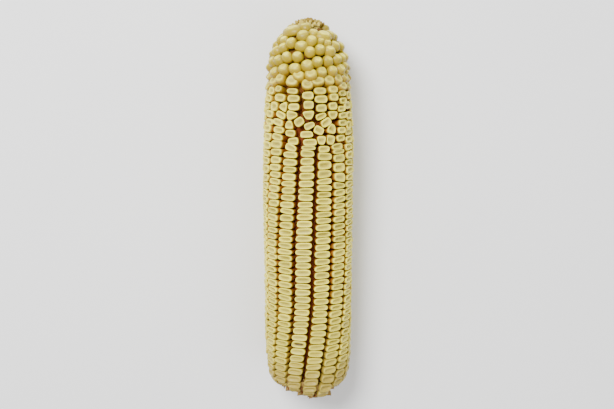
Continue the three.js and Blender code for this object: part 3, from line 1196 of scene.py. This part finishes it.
def scale_cage():
    """A chaff scale to copy: a curved flap that stands up from its foot, half a unit to each
    side and one unit high, hollow towards the kernel."""
    bm = bmesh.new()
    bmesh.ops.create_grid(bm, x_segments=2, y_segments=SCALE_ROWS, size=0.5)
    bmesh.ops.translate(bm, verts=bm.verts, vec=(0, 0.5, 0))
    bmesh.ops.rotate(bm, verts=bm.verts, cent=(0, 0, 0), matrix=Matrix.Rotation(math.pi / 2, 3, "X"))
    for vertex in bm.verts:
        x, _, z = vertex.co
        narrowing = 1 - SCALE_NARROWING * z * z
        hollow = SCALE_CURL * x * x + SCALE_BEND * z * z
        vertex.co = Vector((x * narrowing, hollow, z * (1 - SCALE_ROUNDING * x * x)))
    return as_mesh(bm, "scale_cage")


def add_scale(bm, cage, rise, place, kind, chance):
    """Copies a scale into the chaff, sizes it and ruffles its edge."""
    width = kind.width * chance.uniform(*kind.widths)
    height = kind.height * chance.uniform(*kind.heights)
    first = len(bm.verts)
    bm.from_mesh(cage)
    bm.verts.ensure_lookup_table()
    for vertex in bm.verts[first:]:
        x, y, z = vertex.co
        ruffle = 1 + (SCALE_RUFFLE + kind.torn) * chance.uniform(-1, 1) * z
        vertex[rise] = z
        vertex.co = place @ Vector((x * width, y * width, z * height * ruffle))


def foot_scales(bm, cage, rise, seat, settings, chance):
    """The two scales that clasp a kernel's foot, left and right of it."""
    foot = AXIS.beside(seat.centre)
    out = (seat.centre - foot).normalized()
    half = min(seat.across.length, settings.scale_width * FOOT_SCALE_REACH)
    height = min(settings.scale_height, AXIS.radius(seat.centre) - AXIS.cob_radius)
    kind = ScaleKind(settings.scale_width, height, FOOT_SCALE_WIDTHS, FOOT_SCALE_HEIGHTS)
    for side in (-1, 1):
        up = Quaternion(AXIS.direction, side * FOOT_SCALE_SPLAY) @ out
        facing = seat.across.normalized() * side
        right = AXIS.direction * -side
        basis = Matrix((right, facing, up)).transposed().to_4x4()
        place = foot + out * (AXIS.cob_radius - FOOT_SCALE_SINK) + facing * half * FOOT_SCALE_ASIDE
        add_scale(bm, cage, rise, Matrix.Translation(place) @ basis, kind, chance)


def add_chaff(cage, settings):
    """Chaff between the kernels along the whole ear."""
    chance = random.Random(f"{SEED}-chaff")
    bm = bmesh.new()
    rise = new_layers(bm, "rise")["rise"]
    for row in FRAME_SEATS:
        for seat in row:
            if seat.along < CHAFF_END:
                foot_scales(bm, cage, rise, seat, settings, chance)
    material = scale_material("chaff", settings.chaff_color, settings.chaff_edge_color)
    thicken_piece(add_piece("chaff", bm, material, "chaff"), settings.scale_thickness)


def row_end_scales(bm, cage, rise, seat, chance):
    """Torn scales that lie against a row's lowest kernel, across the gaps beside it."""
    out = (seat.centre - AXIS.beside(seat.centre)).normalized()
    up = (out - AXIS.direction * ROW_END_LEAN).normalized()
    right = AXIS.sideways(seat.centre)
    basis = Matrix((right, up.cross(right), up)).transposed().to_4x4()
    for i in range(ROW_END_SCALES):
        share = (i + ROW_END_SCATTER * chance.uniform(-1, 1)) / (ROW_END_SCALES - 1)
        aside = seat.across * lerp(-ROW_END_REACH, ROW_END_REACH, share)
        foot = seat.centre - seat.lengthwise * ROW_END_DROP + aside - out * ROW_END_DEPTH
        add_scale(bm, cage, rise, Matrix.Translation(foot) @ basis, ROW_END_SCALE, chance)


def gap_scales(bm, cage, rise, seat, chance):
    """Torn scales that lie along the gaps on both sides of one of a row's lowest kernels."""
    out = (seat.centre - AXIS.beside(seat.centre)).normalized()
    right = seat.across.normalized()
    up = right.cross(out)
    basis = Matrix((-right, out, -up)).transposed().to_4x4()
    for side in (-1, 1):
        aside = seat.across * side * GAP_SCALE_ASIDE
        for depth in GAP_SCALE_DEPTHS:
            foot = seat.centre + aside - out * depth + up * GAP_SCALE_FORWARD
            add_scale(bm, cage, rise, Matrix.Translation(foot) @ basis, GAP_SCALE, chance)


def add_butt_chaff(cage, settings):
    """Torn, straw-coloured scales in two rings round the cob's broken face, under every row's end
    and beside its lowest kernels."""
    chance = random.Random(f"{SEED}-butt")
    bm = bmesh.new()
    rise = new_layers(bm, "rise")["rise"]
    for i in range(BUTT_SCALES):
        angle = math.tau * i / BUTT_SCALES + BUTT_ANGLE_SCATTER * chance.uniform(-1, 1)
        place = AXIS.frame_at(BUTT_SCALE_ALONG, BUTT_RING_RADII[i % 2], angle)
        fold = BUTT_RING_FOLDS[i % 2] + BUTT_FOLD_SCATTER * chance.uniform(-1, 1)
        basis = place @ Matrix.Rotation(fold, 4, "X")
        add_scale(bm, cage, rise, basis, BUTT_SCALE, chance)
    for row in FRAME_SEATS:
        row_end_scales(bm, cage, rise, row[0], chance)
        for seat in row[:GAP_SCALE_SEATS]:
            gap_scales(bm, cage, rise, seat, chance)
    straw = settings.straw_color
    material = scale_material("straw_chaff", blend(straw, settings.chaff_color, 0.35), straw)
    thicken_piece(add_piece("butt_chaff", bm, material, "chaff"), settings.scale_thickness)


def spun_profile(bm, profile, steps):
    """Spins a profile of (distance along the ear, radius) about the ear's axis."""
    verts = [bm.verts.new(AXIS.point(along, radius, 0)) for along, radius in profile]
    edges = [bm.edges.new(pair) for pair in zip(verts, verts[1:])]
    bmesh.ops.spin(
        bm, geom=verts + edges, cent=AXIS.butt, axis=AXIS.direction, dvec=Vector(),
        angle=math.tau, steps=steps, use_merge=True)
    bmesh.ops.remove_doubles(bm, verts=bm.verts, dist=WELD * 10)
    bmesh.ops.recalc_face_normals(bm, faces=bm.faces)


def add_shank(settings):
    """The broken end of the stalk: a sunken pith inside a torn, fibrous ring."""
    chance = random.Random(f"{SEED}-shank")
    bm = bmesh.new()
    spun_profile(bm, [(along * MM, radius * MM) for along, radius in SHANK_PROFILE], SHANK_SPOKES)
    rise = new_layers(bm, "rise")["rise"]
    for vertex in bm.verts:
        radius = AXIS.radius(vertex.co)
        vertex[rise] = 1 - ramp(radius, *PITH_EDGE)
        torn = ramp(radius, *TORN_INNER_EDGE) * (1 - ramp(radius, *TORN_OUTER_EDGE))
        bump = SMOOTH_BUMPS + TORN_BUMPS * torn
        vertex.co += AXIS.direction * bump * chance.uniform(-1, 1)
    smooth_piece(add_piece("shank", bm, shank_material(settings), "cob"), 1)


def add_floret(bm, layers, place, length, chance):
    """A shrivelled floret: a small seed, pinched at its end and pulled out of shape."""
    seed = bmesh.ops.create_icosphere(bm, subdivisions=1, radius=0.5)["verts"]
    tone = chance.random() ** 2
    girth = chance.uniform(*FLORET_GIRTHS)
    for vertex in seed:
        x, y, z = vertex.co
        pinched = girth * (1 - FLORET_PINCH * ramp(z, 0.0, 0.5))
        shrunk = Vector((x * pinched, y * pinched * FLORET_FLATNESS, z + FLORET_FOOT))
        pulled = Vector([chance.uniform(-1, 1) for _ in range(3)]) * FLORET_CRUMPLE
        vertex.co = place @ ((shrunk + pulled) * length)
        vertex[layers["tone"]] = tone


def add_florets(settings):
    """The withered florets that crowd on the ear's tip, over a thin end of the cob."""
    chance = random.Random(f"{SEED}-florets")
    low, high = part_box("withered_tip")
    start = AXIS.along(Vector((AXIS.tip.x, low.y, AXIS.tip.z)))
    end = AXIS.along(Vector((AXIS.tip.x, high.y, AXIS.tip.z))) - settings.floret_length * 0.5
    bm = bmesh.new()
    layers = new_layers(bm, "tone")
    dome = [(end - FLORET_DROP * drop, FLORET_REACH * reach) for drop, reach in FLORET_DOME]
    spun_profile(bm, [(start, 0.0), (start, FLORET_REACH), *dome], FLORET_SPOKES)
    for i in range(FLORET_COUNT):
        share = (i + 0.5) / FLORET_COUNT
        radius = FLORET_REACH * math.sqrt(share)
        place = AXIS.frame_at(end - FLORET_DROP * share, radius, i * GOLDEN_ANGLE)
        tilt = -math.pi / 2 * (1 - 0.5 * share) + FLORET_TILT_SCATTER * chance.uniform(-1, 1)
        turned = place @ Matrix.Rotation(tilt, 4, "X") @ Matrix.Rotation(chance.uniform(0, 6), 4, "Z")
        length = settings.floret_length * chance.uniform(*FLORET_SIZES)
        add_floret(bm, layers, turned, length, chance)
    material = floret_material(settings)
    smooth_piece(add_piece("withered_florets", bm, material, "chaff", "withered_tip"), 1)


def add_bed(settings):
    """The chaffy bed between the kernels: maroon along the ear and brown at its tip."""
    chance = random.Random(f"{SEED}-bed")
    bm = bmesh.new()
    profile = [(BED_FROM, AXIS.cob_radius * BED_BUTT_SHARE)]
    for i in range(BED_RINGS):
        along = lerp(BED_FROM, BED_TO, i / (BED_RINGS - 1))
        deep = lerp(BED_DEPTH, BED_DEPTH_TIP, ramp(along, LEAN_FROM, LEAN_TO))
        profile.append((along, OUTLINE.radius(along) - deep))
    spun_profile(bm, [(BED_FROM, 0.0), *profile, (BED_TO, 0.0)], BED_SPOKES)
    rise = new_layers(bm, "rise")["rise"]
    for vertex in bm.verts:
        bump = chance.uniform(-1, 1)
        vertex[rise] = 0.5 + 0.5 * bump
        vertex.co += AXIS.outward(vertex.co) * BED_BUMPS * bump
    add_piece("chaff_bed", bm, bed_material(settings), "cob")


class EAR_OT_cob(bpy.types.Operator):
    """Finish the cob, its broken shank and the chaffy bed that the kernels stand in"""

    bl_idname = "maize_ear.cob"
    bl_label = "Cob"

    def execute(self, context):
        settings = context.scene.maize_ear.chaff
        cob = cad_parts["cob"]
        cob.data.materials.clear()
        cob.data.materials.append(cob_material(settings))
        add_shank(settings)
        add_bed(settings)
        return {"FINISHED"}


class EAR_OT_chaff(bpy.types.Operator):
    """Add the chaff between the kernels and round the butt"""

    bl_idname = "maize_ear.chaff"
    bl_label = "Chaff"

    def execute(self, context):
        settings = context.scene.maize_ear.chaff
        cage = scale_cage()
        add_chaff(cage, settings)
        add_butt_chaff(cage, settings)
        bpy.data.meshes.remove(cage)
        return {"FINISHED"}


class EAR_OT_florets(bpy.types.Operator):
    """Add the withered florets at the tip"""

    bl_idname = "maize_ear.florets"
    bl_label = "Withered Florets"

    def execute(self, context):
        add_florets(context.scene.maize_ear.chaff)
        return {"FINISHED"}


# ---- Stage ----

def add_floor(size):
    bm = bmesh.new()
    bmesh.ops.create_grid(bm, x_segments=1, y_segments=1, size=size / 2)
    mesh = as_mesh(bm, "floor")
    material, make = new_material("floor")
    place = make.object_place()
    mottled = make.mottle(place, FLOOR_COLOR, FLOOR_CLOUD, 8.0, 1.0)
    finish_material(make, mottled["Color"], 0.9, make.relief(place, 3000.0, 700.0, 0.3), 0.01 * MM)
    mesh.materials.append(material)
    floor = bpy.data.objects.new("floor", mesh)
    bpy.context.scene.collection.objects.link(floor)


def add_area_light(name, place, size, target, power):
    light = bpy.data.lights.new(name, "AREA")
    light.shape = "DISK"
    light.size = size
    light.energy = power
    lamp = bpy.data.objects.new(name, light)
    lamp.location = place
    lamp.rotation_euler = (Vector(target) - Vector(place)).to_track_quat("-Z", "Y").to_euler()
    bpy.context.scene.collection.objects.link(lamp)


def add_camera(settings, target):
    camera_data = bpy.data.cameras.new("camera")
    camera = bpy.data.objects.new("camera", camera_data)
    tilt = settings.camera_tilt
    camera.location = target + settings.camera_distance * Vector((0, math.sin(tilt), math.cos(tilt)))
    camera.rotation_euler = Euler((-tilt, 0, 0))
    view_width = settings.view_height * VIEW_SHAPE
    camera_data.lens = camera_data.sensor_width * settings.camera_distance / view_width
    camera_data.clip_start = CAMERA_CLIP
    bpy.context.scene.collection.objects.link(camera)
    bpy.context.scene.camera = camera


def add_sky(context, strength):
    world = bpy.data.worlds.new("studio")
    world.use_nodes = True
    background = world.node_tree.nodes["Background"].inputs
    background["Color"].default_value = (1.0, 1.0, 1.0, 1.0)
    background["Strength"].default_value = strength
    context.scene.world = world


class EAR_OT_stage(bpy.types.Operator):
    """Set the camera, the floor and the lights"""

    bl_idname = "maize_ear.stage"
    bl_label = "Stage"

    def execute(self, context):
        settings = context.scene.maize_ear.stage
        low, high = CAD_BOX
        middle = (low + high) / 2
        add_camera(settings, middle + Vector((settings.camera_aside, settings.camera_ahead, 0)))
        add_floor(settings.floor_size)
        add_area_light("key", *KEY_LIGHT, middle, settings.key_power)
        add_area_light("fill", *FILL_LIGHT, middle, settings.fill_power)
        add_sky(context, settings.sky)
        return {"FINISHED"}


# ---- Panel and registration ----

class EAR_PT_panel(bpy.types.Panel):
    """The ear's pieces and their settings"""

    bl_label = "Maize Ear"
    bl_idname = "EAR_PT_panel"
    bl_space_type = "VIEW_3D"
    bl_region_type = "UI"
    bl_category = "Maize Ear"

    def draw(self, context):
        for operator in STEPS:
            self.layout.operator(operator.bl_idname)
        settings = context.scene.maize_ear
        for group in (settings.kernels, settings.chaff, settings.stage):
            box = self.layout.box()
            for name in group.__annotations__:
                box.prop(group, name)


STEPS = (EAR_OT_stage, EAR_OT_cob, EAR_OT_kernels, EAR_OT_chaff, EAR_OT_florets)
CLASSES = (KernelSettings, ChaffSettings, StageSettings, EarSettings, *STEPS, EAR_PT_panel)


def register():
    for cls in CLASSES:
        bpy.utils.register_class(cls)
    bpy.types.Scene.maize_ear = PointerProperty(type=EarSettings)


def unregister():
    del bpy.types.Scene.maize_ear
    for cls in reversed(CLASSES):
        bpy.utils.unregister_class(cls)


def main():
    register()
    mottle_group()
    relief_group()
    fibre_group()
    bpy.ops.maize_ear.stage()
    bpy.ops.maize_ear.cob()
    bpy.ops.maize_ear.kernels()
    bpy.ops.maize_ear.chaff()
    bpy.ops.maize_ear.florets()


if __name__ == "__main__":
    main()
